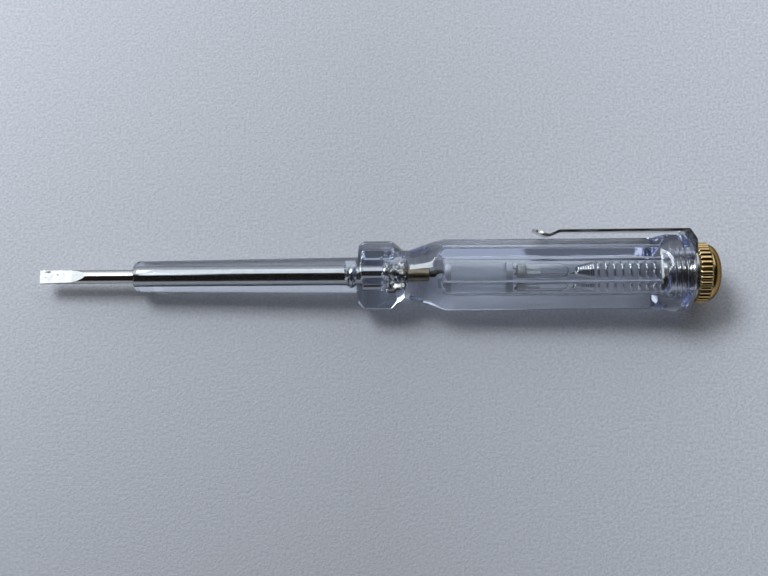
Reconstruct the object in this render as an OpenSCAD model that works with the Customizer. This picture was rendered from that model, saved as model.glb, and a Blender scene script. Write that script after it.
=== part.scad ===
// Screwdriver-type voltage tester with a clear moulded handle.
// The tool axis is X: the blade tip is at the origin and the screw cap points along +X.
// Z is up, and the handle lies with one hexagon flat up and one down.

/* [Blade] */
// Diameter of the blade rod
blade_d = 2.75; // [2.3:0.05:3]
// Width of the flat tip
tip_w = 2.8; // [2.6:0.1:3.6]
// Thickness of the flat tip
tip_t = 0.5; // [0.4:0.05:0.8]
// Length of the ground flats
tip_l = 9.5; // [7:0.5:12]
// Length over which the ground flats run out into the rod
tip_run_l = 3; // [2:0.1:4]
// Thickness of the tip where its flats start to run out
tip_root_t = 1.15; // [0.9:0.05:1.4]
// Length of the spread end of the tip
tip_flare_l = 6; // [3:0.5:6]
// Bare round rod between the flats and the sleeve
bare_l = 9.9; // [4:0.1:20]
// Diameter of the swaged bulge under the collar
bulge_d = 3.6; // [3.2:0.1:4.4]
// Length of the swaged bulge
bulge_l = 2.4; // [1.5:0.1:4]
// Distance from the bulge's middle to the front of the collar
bulge_lead = 1.4; // [1:0.1:4]
// Width across the crimped anchor ears
ear_w = 4.5; // [3.6:0.1:5.6]
// Length of the crimped anchor ears
ear_l = 4.5; // [3:0.1:5]
// Thickness of the crimped anchor ears
ear_t = 0.9; // [0.6:0.1:1.4]
// Diameter of the contact nib behind the rod's shoulder
nib_d = 1; // [0.6:0.1:1.6]
// Length of the contact nib
nib_l = 2.2; // [1.2:0.1:3]
// How far the nib stands out into the bore
nib_out = 0.2; // [0.1:0.05:0.5]

/* [Sleeve] */
// Length of the insulating sleeve
sleeve_l = 46.1; // [30:0.1:60]
// Diameter of the sleeve at its front
sleeve_front_d = 6.25; // [5.4:0.05:6.8]
// Diameter of the sleeve at the collar
sleeve_rear_d = 7.4; // [6.8:0.1:8.4]
// Rounding of the sleeve's front edge
sleeve_round = 1.2; // [0.4:0.1:1.4]

/* [Collar] */
// Length of the hexagonal collar
collar_l = 9.3; // [7:0.1:12]
// Width of the collar across its flats
collar_af = 12.6; // [12:0.1:13]
// Diameter round the collar's trimmed corners
collar_corner_d = 14.4; // [13.4:0.1:14.8]
// Length of the collar's front chamfer
collar_front_chamfer = 1.2; // [0.6:0.1:2]
// Length of the collar's rear chamfer
collar_rear_chamfer = 2.7; // [1.5:0.1:3.5]
// Diameter of the neck behind the collar
neck_d = 10; // [9:0.1:11]
// Length of the neck
neck_l = 1.1; // [0.6:0.1:3]

/* [Handle] */
// Length of the round shoulder from the neck to the full hexagon
shoulder_l = 7.2; // [5:0.1:10]
// Length of the full hexagon
handle_l = 43.1; // [36:0.1:60]
// Width of the handle across its flats
handle_af = 13.2; // [12.4:0.1:13.4]
// Diameter round the handle's trimmed corners
handle_corner_d = 15; // [14:0.05:15.2]
// Length over which the flats run out into the rear band
runout_l = 2.3; // [1.5:0.1:4]
// Diameter of the round rear band
band_d = 15.8; // [15.2:0.1:17]
// Length of the round rear band
band_l = 5.1; // [4:0.1:8]
// Rounding of the rear edge
band_round = 2; // [0.8:0.1:2.4]

/* [Bore] */
// Diameter of the bore that holds the lamp
bore_d = 5.7; // [5.7:0.05:6]
// Depth of the bore from the rear face
bore_l = 50.9; // [49.8:0.1:54]
// Diameter of the tapped rear end of the bore
thread_d = 7; // [6.6:0.1:7.6]
// Length of the tapped rear end of the bore
thread_l = 5.3; // [5.1:0.1:8]
// Clearance between the moulding and the blade inside it
mould_fit = 0.02; // [0.01:0.01:0.05]

/* [Resistor] */
// Length of the resistor over its end caps
resistor_l = 14; // [11:0.1:15]
// Diameter of the resistor stick
resistor_d = 5; // [3.6:0.1:5.1]
// Length of each metal end cap
resistor_cap_l = 1.4; // [0.8:0.1:2.5]
// Wall of each metal end cap
resistor_cap_wall = 0.15; // [0.1:0.05:0.3]

/* [Lamp] */
// Length of the lamp's glass tube
lamp_l = 10.8; // [9:0.1:11.5]
// Outer diameter of the glass tube
lamp_d = 4.6; // [4.2:0.1:4.6]
// Wall of the glass tube
lamp_wall = 0.4; // [0.3:0.05:0.5]
// Length of the glass bead that closes the tube
stem_l = 1.8; // [0.8:0.1:2.4]
// Length of the drawn-off tip of the glass
lamp_pip_l = 0.5; // [0.3:0.1:0.6]
// Diameter of the drawn-off tip of the glass
lamp_pip_d = 1.2; // [0.6:0.1:1.6]
// Diameter of each electrode
electrode_d = 1; // [0.6:0.05:1.1]
// Length of each electrode
electrode_l = 2.9; // [2:0.1:4.5]
// Distance between the axes of the electrodes
electrode_pitch = 1.4; // [1.2:0.05:1.5]
// Diameter of the lead wires
lead_d = 0.4; // [0.3:0.05:0.4]

/* [Spring] */
// Wire diameter of the contact spring
spring_wire_d = 0.45; // [0.35:0.05:0.55]
// Outer diameter of the spring's main coil
spring_d = 5.2; // [4.6:0.1:5.4]
// Outer diameter of the spring's nose
spring_nose_d = 2; // [2:0.1:3.2]
// Turns in the drawn-in nose
spring_nose_turns = 3; // [2:1:4]
// Pitch of the drawn-in nose
spring_nose_pitch = 1; // [0.98:0.02:1.2]
// Turns in the main coil
spring_turns = 9; // [6:1:10]

/* [Screw cap] */
// Diameter of the knurled knob
knob_d = 12.4; // [11.6:0.1:14]
// Length of the knurled rim
knurl_l = 2.75; // [2:0.05:5]
// Number of knurl grooves
knurl_n = 34; // [24:1:40]
// Depth of the knurl grooves
knurl_depth = 0.35; // [0.2:0.05:0.5]
// Depth of the bevel at each edge of the rim below the knurl grooves
knurl_edge = 0.06; // [0.04:0.02:0.2]
// Height of the domed end
dome_h = 2.75; // [2:0.05:5]
// Length of the threaded shank inside the handle
shank_l = 4.8; // [3.5:0.1:5]
// Radial clearance of the shank in its thread
thread_clearance = 0.08; // [0.05:0.01:0.15]

/* [Pocket clip] */
// Thickness of the clip's strip
clip_t = 0.6; // [0.4:0.05:0.7]
// Width of the clip's arm at its tip
clip_tip_w = 5.5; // [4:0.1:6.5]
// Width of the clip at its heel
clip_heel_w = 8.6; // [7:0.1:10]
// Outer diameter of the clip's ring
clip_ring_d = 11.5; // [10:0.1:13]
// Length from the rear face to the bump that presses on the handle
clip_reach = 29.2; // [22:0.1:33]
// Length of the raised lead-in beyond the bump
clip_tip_l = 3.2; // [2:0.1:5]
// Gap between the arm and the rear band
clip_gap = 0.5; // [0.45:0.05:1.6]
// Clearance between the bump and the handle's corners
clip_clearance = 0.06; // [0.04:0.02:0.3]
// Forward lean of the heel over the rounded rear edge
clip_lean = 34; // [15:1:40]
// Bend radius at the heel, at the middle of the strip
clip_heel_bend = 0.5; // [0.4:0.1:2]
// Bend radius at the bump, at the middle of the strip
clip_bump_bend = 1.8; // [0.8:0.1:2]
// Clearance of the ring round the shank
clip_ring_clearance = 0.15; // [0.1:0.05:0.4]
// Turn of the clip about the tool axis
clip_turn = 14; // [0:1:45]

/* [Hidden] */

$fn = 96;

// Overshoot of cutting shapes past the face that they cut
cut_over = 1;
// Clearance between pieces that only lie against each other
seat_gap = 0.02;
// Number of flats on the collar and on the handle
hex_n = 6;
// Straight pieces in each rounded stretch of an outline
arc_steps = 10;
// Straight pieces in each bend of a wire or a strip
bend_steps = 8;
// Sides of the lead wires
lead_sides = 8;
// Gap between the two leads where one passes behind the other
lead_pass = 0.14;
// Gap between the glass tip and the rear lead's hook
hook_gap = 0.08;
// How far the front lead is hooked across the resistor's cap
front_hook_h = 1.5;
// Share of the ears' diagonal that their trimmed corners leave
ear_trim = 0.9;
// Half width of each knurl groove as a share of the knurl's spacing
groove_share = 0.4;
// Bevel at the front end of the shank
shank_bevel = 0.5;

// Stations along the tool axis
sleeve_x = tip_l + bare_l;
collar_x = sleeve_x + sleeve_l;
neck_x = collar_x + collar_l;
shoulder_x = neck_x + neck_l;
handle_x = shoulder_x + shoulder_l;
runout_x = handle_x + handle_l;
band_x = runout_x + runout_l;
rear_x = band_x + band_l;
bore_x = rear_x - bore_l;
nib_end_x = bore_x + nib_out;
nib_x = nib_end_x - nib_l;
resistor_x = nib_end_x;
resistor_end_x = resistor_x + resistor_l;
knob_x = rear_x + clip_t;
shank_x = rear_x - shank_l;

// The leads lie one behind the other in front of the lamp's bead
front_hook_x = resistor_end_x + lead_d / 2;
rear_fold_x = front_hook_x + lead_d + lead_pass;
stem_x = rear_fold_x + lead_d / 2 + seat_gap;
lamp_end_x = stem_x + lamp_l;
pip_end_x = lamp_end_x + lamp_pip_l;
rear_hook_x = pip_end_x + hook_gap + lead_d / 2;
spring_x = rear_hook_x + lead_d / 2 + seat_gap;

// Radii and offsets shared by pieces that meet
sleeve_front_r = sleeve_front_d / 2;
sleeve_rear_r = sleeve_rear_d / 2;
collar_r = collar_corner_d / 2;
neck_r = neck_d / 2;
handle_r = handle_corner_d / 2;
band_r = band_d / 2;
lamp_in_d = lamp_d - 2 * lamp_wall;
shank_d = thread_d - 2 * thread_clearance;
lead_bend = lead_d;
lead_z = -(lamp_d / 2 + seat_gap + lead_d / 2);
electrode_y = electrode_pitch / 2;

// Points of an arc about a centre, angles in degrees
function arc(centre, radius, from, to, steps = arc_steps) =
    [for (i = [0:steps]) let(a = from + (to - from) * i / steps)
        centre + radius * [cos(a), sin(a)]];

function unit(v) = v / norm(v);

// Points of a bent line: each corner [along, across, bend radius] becomes an arc
function bent_line(corners, steps = bend_steps) = let(last = len(corners) - 1) [
    for (i = [0:last])
        let(p = [corners[i][0], corners[i][1]])
        if (i == 0 || i == last) p
        else
            let(a = unit([corners[i - 1][0], corners[i - 1][1]] - p))
            let(b = unit([corners[i + 1][0], corners[i + 1][1]] - p))
            let(half = acos(a * b) / 2)
            let(centre = p + unit(a + b) * corners[i][2] / sin(half))
            let(run = corners[i][2] / tan(half))
            let(start = p + a * run - centre)
            let(stop = p + b * run - centre)
            let(turn = 180 - 2 * half)
            let(side = sign(start[0] * stop[1] - start[1] * stop[0]))
            for (k = [0:steps]) let(w = side * turn * k / steps)
                centre + [start[0] * cos(w) - start[1] * sin(w), start[0] * sin(w) + start[1] * cos(w)]
];

// Unit normal of a line at point i
function line_normal(line, i) =
    let(t = unit(line[min(i + 1, len(line) - 1)] - line[max(i - 1, 0)])) [-t[1], t[0]];

// Closed outline of a strip with a given thickness along a line
function strip_outline(line, thickness) = let(last = len(line) - 1) concat(
    [for (i = [0:last]) line[i] + line_normal(line, i) * thickness / 2],
    [for (i = [last:-1:0]) line[i] - line_normal(line, i) * thickness / 2]);

// Solid of revolution about the tool axis from points [along, radius]
module turned(points) {
    rotate([0, 90, 0])
        rotate_extrude()
            polygon([for (p = points) [p[1], p[0]]]);
}

// Cylinder along the tool axis
module rod(x, length, d) {
    translate([x, 0, 0])
        rotate([0, 90, 0])
            cylinder(h = length, d = d);
}

// Side outline [along, across] given a width about the tool axis plane
module side_cut(points, width) {
    rotate([90, 0, 0])
        translate([0, 0, -width / 2])
            linear_extrude(height = width)
                polygon(points);
}

// Six copies round the tool axis, the first on the upper flat
module on_flats() {
    for (i = [0:hex_n - 1])
        rotate([i * 360 / hex_n, 0, 0])
            children();
}

// Round wire swept along points, with a direction across the wire at each point
module wire(points, across, d, sides) {
    last = len(points) - 1;
    rings = [for (i = [0:last])
        let(t = unit(points[min(i + 1, last)] - points[max(i - 1, 0)]))
        let(n = unit(across[i] - t * (across[i] * t)))
        let(b = cross(t, n))
        for (j = [0:sides - 1]) let(a = 360 * j / sides)
            points[i] + d / 2 * (n * cos(a) + b * sin(a))];
    walls = [for (i = [0:last - 1], j = [0:sides - 1])
        let(k = (j + 1) % sides)
        let(p = i * sides)
        let(q = p + sides)
        each [[p + j, q + j, q + k], [p + j, q + k, p + k]]];
    front = [for (j = [1:sides - 2]) [0, j, j + 1]];
    back = [for (j = [1:sides - 2]) [last * sides, last * sides + j + 1, last * sides + j]];
    polyhedron(rings, concat(walls, front, back));
}

// Blade rod with its anchors, from the sleeve's front to the nib; fit swells it for the moulding's channel
module blade_root(fit) {
    bulge_x = collar_x - bulge_lead;
    bulge_rise = (bulge_d - blade_d) / 2;
    ear_x = neck_x - ear_l / 2 + neck_l / 2;
    nib_bevel = (blade_d - nib_d) / 4;
    turned(concat(
        [[sleeve_x, 0], [sleeve_x, blade_d / 2 + fit]],
        [for (i = [0:arc_steps]) let(w = i / arc_steps)
            [bulge_x + bulge_l * (w - 0.5), blade_d / 2 + fit + bulge_rise * sin(180 * w)]],
        [[nib_x - nib_bevel, blade_d / 2 + fit], [nib_x + fit, blade_d / 2 - nib_bevel + fit],
         [nib_x + fit, nib_d / 2 + fit], [nib_end_x, nib_d / 2 + fit], [nib_end_x, 0]]));
    translate([ear_x, 0, -ear_t / 2 - fit])
        linear_extrude(height = ear_t + 2 * fit)
            intersection() {
                circle(d = norm([ear_l, ear_w]) * ear_trim + 2 * fit);
                square([ear_l + 2 * fit, ear_w + 2 * fit], center = true);
            }
}

// Flat tip: the rod and its spread end, ground to a slender wedge that runs out more steeply
module blade_tip() {
    root_x = tip_l - tip_run_l;
    flare_r = sqrt(pow(blade_d / 2, 2) - pow(tip_root_t / 2, 2));
    intersection() {
        union() {
            rod(0, sleeve_x, blade_d);
            translate([0, 0, -blade_d / 2])
                linear_extrude(height = blade_d)
                    polygon([[0, -tip_w / 2], [tip_flare_l, -flare_r],
                        [tip_flare_l, flare_r], [0, tip_w / 2]]);
        }
        side_cut([[0, -tip_t / 2], [root_x, -tip_root_t / 2], [tip_l, -blade_d / 2],
            [sleeve_x, -blade_d / 2], [sleeve_x, blade_d / 2], [tip_l, blade_d / 2],
            [root_x, tip_root_t / 2], [0, tip_t / 2]], 2 * tip_w);
    }
}

module blade() {
    color("silver")
        union() {
            blade_tip();
            blade_root(0);
        }
}

// Outline of the clear moulding before its flats are cut
function body_outline() = concat(
    [[sleeve_x, 0]],
    [for (p = arc([sleeve_x + sleeve_round, sleeve_front_r - sleeve_round], sleeve_round, 180, 90)) p],
    [[collar_x, sleeve_rear_r],
     [collar_x, collar_r - collar_front_chamfer],
     [collar_x + collar_front_chamfer, collar_r],
     [neck_x - collar_rear_chamfer, collar_r],
     [neck_x, neck_r],
     [shoulder_x, neck_r],
     [handle_x, handle_r],
     [runout_x, handle_r],
     [band_x, band_r]],
    arc([rear_x - band_round, band_r - band_round], band_round, 90, 0),
    [[rear_x, 0]]);

// What each flat takes off the collar and off the handle, as seen from the side
module flat_cuts() {
    outer = band_r + cut_over;
    slope = (band_r - handle_af / 2) / runout_l;
    side_cut([[collar_x - cut_over, collar_af / 2], [neck_x, collar_af / 2],
        [neck_x, outer], [collar_x - cut_over, outer]], 2 * outer);
    side_cut([[shoulder_x, handle_af / 2], [runout_x, handle_af / 2],
        [band_x + cut_over, band_r + slope * cut_over], [band_x + cut_over, outer + slope * cut_over],
        [shoulder_x, outer]], 2 * outer);
}

module body() {
    color([0.72, 0.76, 0.86, 0.4])
        difference() {
            turned(body_outline());
            on_flats()
                flat_cuts();
            rod(bore_x, bore_l + cut_over, bore_d);
            rod(rear_x - thread_l, thread_l + cut_over, thread_d);
            blade_root(mould_fit);
            rod(sleeve_x - cut_over, 2 * cut_over, blade_d + 2 * mould_fit);
        }
}

module resistor_rod() {
    color("lightsteelblue")
        rod(resistor_x + resistor_cap_wall + seat_gap,
            resistor_l - 2 * (resistor_cap_wall + seat_gap), resistor_d);
}

// Thin cup pressed over one end of the resistor
module resistor_cup() {
    outer_d = resistor_d + 2 * (resistor_cap_wall + seat_gap);
    difference() {
        rod(0, resistor_cap_l, outer_d);
        rod(resistor_cap_wall, resistor_cap_l, resistor_d + 2 * seat_gap);
    }
}

module resistor_front_cap() {
    color("gainsboro")
        translate([resistor_x, 0, 0])
            resistor_cup();
}

module resistor_rear_cap() {
    color("gainsboro")
        translate([resistor_end_x, 0, 0])
            mirror([1, 0, 0])
                resistor_cup();
}

// Glass tube, open at the bead and domed at the other end, with its drawn-off tip
module lamp_glass() {
    dome_x = lamp_end_x - lamp_d / 2;
    color([0.8, 0.9, 0.9, 0.4])
        turned(concat(
            [[stem_x, lamp_in_d / 2], [stem_x, lamp_d / 2]],
            [for (p = arc([dome_x, 0], lamp_d / 2, 90, asin(lamp_pip_d / lamp_d))) p],
            [[pip_end_x - lamp_pip_d / 4, lamp_pip_d / 2], [pip_end_x, lamp_pip_d / 4], [pip_end_x, 0]],
            [for (p = arc([dome_x, 0], lamp_in_d / 2, 0, 90)) p]));
}

// Places that both wires pass through in the bead
module lead_holes() {
    for (side = [-1, 1])
        translate([0, side * electrode_y, 0])
            rod(stem_x - cut_over, stem_l + 2 * cut_over, lead_d + 2 * seat_gap);
}

module lamp_stem() {
    color([0.75, 0.85, 0.8, 0.6])
        difference() {
            rod(stem_x, stem_l, lamp_in_d - 2 * seat_gap);
            lead_holes();
        }
}

// Round-ended electrode behind the bead
module electrode(side) {
    bevel = electrode_d / 4;
    start_x = stem_x + stem_l + seat_gap;
    translate([0, side * electrode_y, 0])
        turned([[start_x, 0], [start_x, electrode_d / 2], [start_x + electrode_l - bevel, electrode_d / 2],
            [start_x + electrode_l, electrode_d / 2 - bevel], [start_x + electrode_l, 0]]);
}

module lamp_front_electrode() {
    color("gray")
        electrode(1);
}

module lamp_rear_electrode() {
    color("gray")
        electrode(-1);
}

// Wire bent in an upright plane beside the tool axis, from corners [along, up, bend radius]
module lead(corners, y) {
    line = bent_line(corners);
    wire([for (p = line) [p[0], y, p[1]]], [for (p = line) [0, 1, 0]], lead_d, lead_sides);
}

// From the first electrode forward, then hooked across the resistor's cap
module lamp_front_lead() {
    color("peru")
        lead([[stem_x + stem_l, 0, 0], [front_hook_x, 0, lead_bend], [front_hook_x, front_hook_h, 0]],
            electrode_y);
}

// From the second electrode, folded back under the glass, then hooked up in front of the spring
module lamp_rear_lead() {
    color("peru")
        lead([[stem_x + stem_l, 0, 0], [rear_fold_x, 0, lead_bend], [rear_fold_x, lead_z, lead_bend],
            [rear_hook_x, lead_z, lead_bend], [rear_hook_x, spring_nose_d / 2, 0]], -electrode_y);
}

// Centreline of the spring as [along, radius, angle]: straight end, bend, nose, main coil, bend, straight end
spring_rings = 8;
spring_sides = 6;
spring_end_steps = 4;
spring_end_ratio = 1.4;
spring_r = (spring_d - spring_wire_d) / 2;
nose_r = (spring_nose_d - spring_wire_d) / 2;
end_bend = spring_end_ratio * spring_wire_d;
end_run = spring_wire_d + end_bend;
nose_end_x = spring_x + end_run + spring_nose_turns * spring_nose_pitch;
spring_pitch = (shank_x - end_run - nose_end_x) / spring_turns;
nose_sweep = end_bend / nose_r * 180 / PI;
coil_sweep = end_bend / spring_r * 180 / PI;
coil_angle = nose_sweep + 360 * (spring_nose_turns + spring_turns);
spring_line = concat(
    [[spring_x, nose_r, 0]],
    [for (i = [0:spring_end_steps - 1]) let(a = 90 * i / spring_end_steps)
        [spring_x + spring_wire_d + end_bend * sin(a), nose_r, nose_sweep * (1 - cos(a))]],
    [for (i = [0:spring_nose_turns * spring_rings]) let(w = i / spring_rings)
        [spring_x + end_run + spring_nose_pitch * w,
         nose_r + (spring_r - nose_r) * w / spring_nose_turns, nose_sweep + 360 * w]],
    [for (i = [1:spring_turns * spring_rings]) let(w = i / spring_rings)
        [nose_end_x + spring_pitch * w, spring_r, nose_sweep + 360 * (spring_nose_turns + w)]],
    [for (i = [1:spring_end_steps]) let(a = 90 * i / spring_end_steps)
        [shank_x - end_run + end_bend * (1 - cos(a)), spring_r, coil_angle + coil_sweep * sin(a)]],
    [[shank_x, spring_r, coil_angle + coil_sweep]]);
// The straight front end stands in front of the rear lead's hook
spring_start_turn = acos(-electrode_y / nose_r);
spring_across = [for (p = spring_line) let(a = p[2] + spring_start_turn) [0, cos(a), sin(a)]];
spring_points = [for (i = [0:len(spring_line) - 1])
    [spring_line[i][0], 0, 0] + spring_line[i][1] * spring_across[i]];
// Least gap between stretches of the wire that are half a turn or more apart
spring_gap = min([for (i = [0:len(spring_points) - 1], j = [i + spring_rings / 2:1:len(spring_points) - 1])
    norm(spring_points[i] - spring_points[j])]) - spring_wire_d;
echo(spring_gap = spring_gap, spring_pitch = spring_pitch);

module contact_spring() {
    color("darkgray")
        wire(spring_points, spring_across, spring_wire_d, spring_sides);
}

// Turned brass cap with its shank, knurled rim and domed end
module end_cap() {
    knob_r = knob_d / 2;
    dome_x = knob_x + knurl_l;
    knurl_bevel = knurl_depth + knurl_edge;
    dome_r = knob_r - knurl_bevel;
    groove_w = PI * knob_d / knurl_n * groove_share;
    color("goldenrod")
        difference() {
            turned(concat(
                [[shank_x, 0], [shank_x, shank_d / 2 - shank_bevel], [shank_x + shank_bevel, shank_d / 2],
                 [knob_x, shank_d / 2], [knob_x, dome_r], [knob_x + knurl_bevel, knob_r],
                 [dome_x - knurl_bevel, knob_r]],
                [for (i = [0:arc_steps]) let(a = 90 * i / arc_steps)
                    [dome_x + dome_h * sin(a), dome_r * cos(a)]]));
            for (i = [0:knurl_n - 1])
                rotate([i * 360 / knurl_n, 0, 0])
                    translate([knob_x - cut_over, 0, knob_r])
                        rotate([90, 0, 90])
                            linear_extrude(height = knurl_l + 2 * cut_over)
                                polygon([[0, -knurl_depth], [groove_w, knurl_depth],
                                    [-groove_w, knurl_depth]]);
        }
}

// Bent strip with a ring that is trapped between the handle and the knob
module pocket_clip() {
    bump_rear_angle = 26;
    bump_tip_angle = 22;
    half_turn = (bump_rear_angle + bump_tip_angle) / 2;
    plate_x = rear_x + clip_t / 2;
    bump_x = rear_x - clip_reach;
    bump_r = handle_r + clip_clearance + clip_t / 2 - clip_bump_bend * (1 / cos(half_turn) - 1);
    // The arm clears the band and stands high enough for both bends of the bump
    bump_rise = clip_bump_bend * (tan(half_turn) + tan(bump_rear_angle / 2)) * sin(bump_rear_angle);
    arm_r = max(band_r + clip_gap + clip_t / 2, bump_r + bump_rise);
    bump_rear_x = bump_x + (arm_r - bump_r) / tan(bump_rear_angle);
    tip_x = bump_x - clip_tip_l;
    // The heel lies against the rounded rear edge, whose middle is at [round_x, round_r]
    round_x = rear_x - band_round;
    round_r = band_r - band_round;
    heel_off = band_round + clip_clearance + clip_t / 2;
    lean_r = round_r + (heel_off - (plate_x - round_x) * cos(clip_lean)) / sin(clip_lean);
    heel_x = round_x + (heel_off - (arm_r - round_r) * sin(clip_lean)) / cos(clip_lean);
    line = bent_line([[plate_x, clip_ring_d / 2 - clip_t, 0], [plate_x, lean_r, clip_heel_bend],
        [heel_x, arm_r, clip_heel_bend], [bump_rear_x, arm_r, clip_bump_bend],
        [bump_x, bump_r, clip_bump_bend], [tip_x, bump_r + clip_tip_l * tan(bump_tip_angle), 0]]);
    color("lightgray")
        rotate([clip_turn - 90, 0, 0]) {
            intersection() {
                side_cut(strip_outline(line, clip_t), 2 * clip_heel_w);
                translate([0, 0, -cut_over])
                    linear_extrude(height = band_d)
                        union() {
                            translate([tip_x + clip_tip_w / 2, 0])
                                circle(d = clip_tip_w);
                            polygon([[tip_x + clip_tip_w / 2, -clip_tip_w / 2],
                                [bump_rear_x, -clip_tip_w / 2], [rear_x, -clip_heel_w / 2],
                                [knob_x, -clip_heel_w / 2], [knob_x, clip_heel_w / 2],
                                [rear_x, clip_heel_w / 2], [bump_rear_x, clip_tip_w / 2],
                                [tip_x + clip_tip_w / 2, clip_tip_w / 2]]);
                        }
            }
            difference() {
                union() {
                    rod(rear_x, clip_t, clip_ring_d);
                    translate([rear_x, -clip_heel_w / 2, 0])
                        cube([clip_t, clip_heel_w, clip_ring_d / 2]);
                }
                rod(rear_x - cut_over, clip_t + 2 * cut_over, shank_d + 2 * clip_ring_clearance);
            }
        }
}

body();
blade();
resistor_rod();
resistor_front_cap();
resistor_rear_cap();
lamp_glass();
lamp_stem();
lamp_front_electrode();
lamp_rear_electrode();
lamp_front_lead();
lamp_rear_lead();
contact_spring();
end_cap();
pocket_clip();
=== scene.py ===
"""Looks of the screwdriver-type voltage tester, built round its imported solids.

Lengths are in millimetres in this file and become metres when a mesh, light or camera is made.
The tool axis is X with the blade tip at the origin. Angles round it run from +Y towards +Z.
"""
import math

import bpy
import numpy as np
from mathutils import Matrix, Vector


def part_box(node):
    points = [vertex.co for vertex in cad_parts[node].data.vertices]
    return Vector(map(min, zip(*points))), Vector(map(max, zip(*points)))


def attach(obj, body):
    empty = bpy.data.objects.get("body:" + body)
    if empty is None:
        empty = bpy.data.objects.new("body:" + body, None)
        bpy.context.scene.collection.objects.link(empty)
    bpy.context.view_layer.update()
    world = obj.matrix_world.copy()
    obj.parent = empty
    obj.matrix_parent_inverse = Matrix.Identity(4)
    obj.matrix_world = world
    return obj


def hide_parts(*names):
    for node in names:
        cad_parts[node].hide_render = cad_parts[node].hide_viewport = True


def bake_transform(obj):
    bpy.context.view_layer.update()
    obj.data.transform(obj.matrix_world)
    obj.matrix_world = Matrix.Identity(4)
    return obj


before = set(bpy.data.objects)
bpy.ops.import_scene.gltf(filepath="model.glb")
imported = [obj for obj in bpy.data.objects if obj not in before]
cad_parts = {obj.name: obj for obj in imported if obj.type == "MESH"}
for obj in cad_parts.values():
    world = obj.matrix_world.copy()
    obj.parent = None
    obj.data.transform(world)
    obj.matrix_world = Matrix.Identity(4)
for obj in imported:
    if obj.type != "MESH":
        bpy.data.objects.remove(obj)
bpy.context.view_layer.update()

MM = 0.001
TURN = 2 * math.pi


def span(node):
    """First and last station of a CAD node along the tool axis, in mm."""
    low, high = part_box(node)
    return low[0] / MM, high[0] / MM


# Stations along the tool axis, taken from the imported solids
NIB_END_X = span("blade")[1]
SLEEVE_X, REAR_X = span("body")
RESISTOR_X = span("resistor_front_cap")[0]
RESISTOR_END_X = span("resistor_rear_cap")[1]
STEM_X, STEM_END_X = span("lamp_stem")
PIP_END_X = span("lamp_glass")[1]
ELECTRODE_X, ELECTRODE_END_X = span("lamp_front_electrode")
SPRING_X, SHANK_X = span("contact_spring")
CLIP_TIP_X, KNOB_X = span("pocket_clip")
DOME_END_X = span("end_cap")[1]

# Gap left where pieces touch
SEAT = 0.02

# Blade
BLADE_R = 1.375
TIP_W, TIP_T, TIP_L, FLARE_L = 2.8, 0.5, 9.5, 6.0
TIP_RUN_L, TIP_ROOT_T = 3.0, 1.15
# Specks on the ground flats: middle, half size and darkness
TIP_SPECKS = (((1.7, 1.0), (0.65, 0.28), 0.95), ((2.5, 0.42), (0.32, 0.12), 0.5),
              ((3.7, 0.40), (0.42, 0.18), 0.75), ((1.15, -0.1), (0.5, 0.16), 0.4))
BULGE_R, BULGE_L = 1.8, 2.4
EAR_W, EAR_L, EAR_T = 4.5, 4.5, 0.9
STEP_R, NIB_R, NIB_L = 0.95, 0.4, 2.2

# Clear moulding
SLEEVE_L, COLLAR_L, NECK_L, SHOULDER_L = 46.1, 9.3, 1.1, 7.2
HANDLE_L, RUNOUT_L, BORE_L, THREAD_L = 43.1, 2.3, 50.9, 5.3
SLEEVE_FRONT_R, SLEEVE_REAR_R, SLEEVE_ROUND = 3.125, 3.7, 1.2
COLLAR_R, COLLAR_FLAT, COLLAR_FRONT, COLLAR_REAR = 7.2, 6.3, 1.2, 2.7
NECK_R, HANDLE_R, HANDLE_FLAT = 5.0, 7.5, 6.6
BAND_R, BAND_ROUND, BORE_R = 7.9, 2.0, 2.85
COLLAR_X = SLEEVE_X + SLEEVE_L
NECK_X = COLLAR_X + COLLAR_L
SHOULDER_X = NECK_X + NECK_L
HANDLE_X = SHOULDER_X + SHOULDER_L
RUNOUT_X = HANDLE_X + HANDLE_L
BAND_X = RUNOUT_X + RUNOUT_L
BORE_X = REAR_X - BORE_L
FLATS = 6
EDGE_BLEND = 0.10

# Flaws in the moulding about the rod: half sizes of the crinkled air gaps across Y and Z, and the bubbles
BULGE_GAP, EAR_GAP = (1.98, 1.98), (2.6, 1.5)
BUBBLE_N, BUBBLE_MIN_R, BUBBLE_MAX_R = 50, 0.14, 0.36

# Thread of the cap in the handle
PITCH, THREAD_CREST_R, THREAD_ROOT_R, THREAD_FIT = 1.0, 3.42, 2.89, 0.06

# Resistor and lamp
RESISTOR_R, RESISTOR_CAP_L, RESISTOR_CAP_WALL = 2.5, 1.4, 0.15
LAMP_R, LAMP_WALL, PIP_R, PIP_L = 2.3, 0.4, 0.6, 0.5
ELECTRODE_R, ELECTRODE_Y, LEAD_R = 0.58, 0.7, 0.2
FRONT_HOOK_H, REAR_HOOK_H = 1.5, 1.0

# Spring
WIRE_R, SPRING_R, NOSE_R = 0.225, 2.375, 1.3
NOSE_TURNS, SPRING_TURNS, CLOSE_PITCH = 7, 8, 0.47

# Screw cap
KNOB_R, KNURL_L, KNURL_N, KNURL_DEPTH, KNURL_BEVEL = 6.2, 2.75, 34, 0.35, 0.41

# Pocket clip
CLIP_T, CLIP_TIP_W, CLIP_HEEL_W, CLIP_RING_R, CLIP_HOLE_R = 0.6, 5.5, 8.6, 5.75, 3.57
CLIP_REACH, CLIP_TIP_L, CLIP_GAP, CLIP_CLEAR = 29.2, 3.2, 0.5, 0.06
CLIP_HEEL_BEND, CLIP_BUMP_BEND = 0.5, 1.8
CLIP_TURN, CLIP_LEAN = math.radians(14), math.radians(34)

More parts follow.
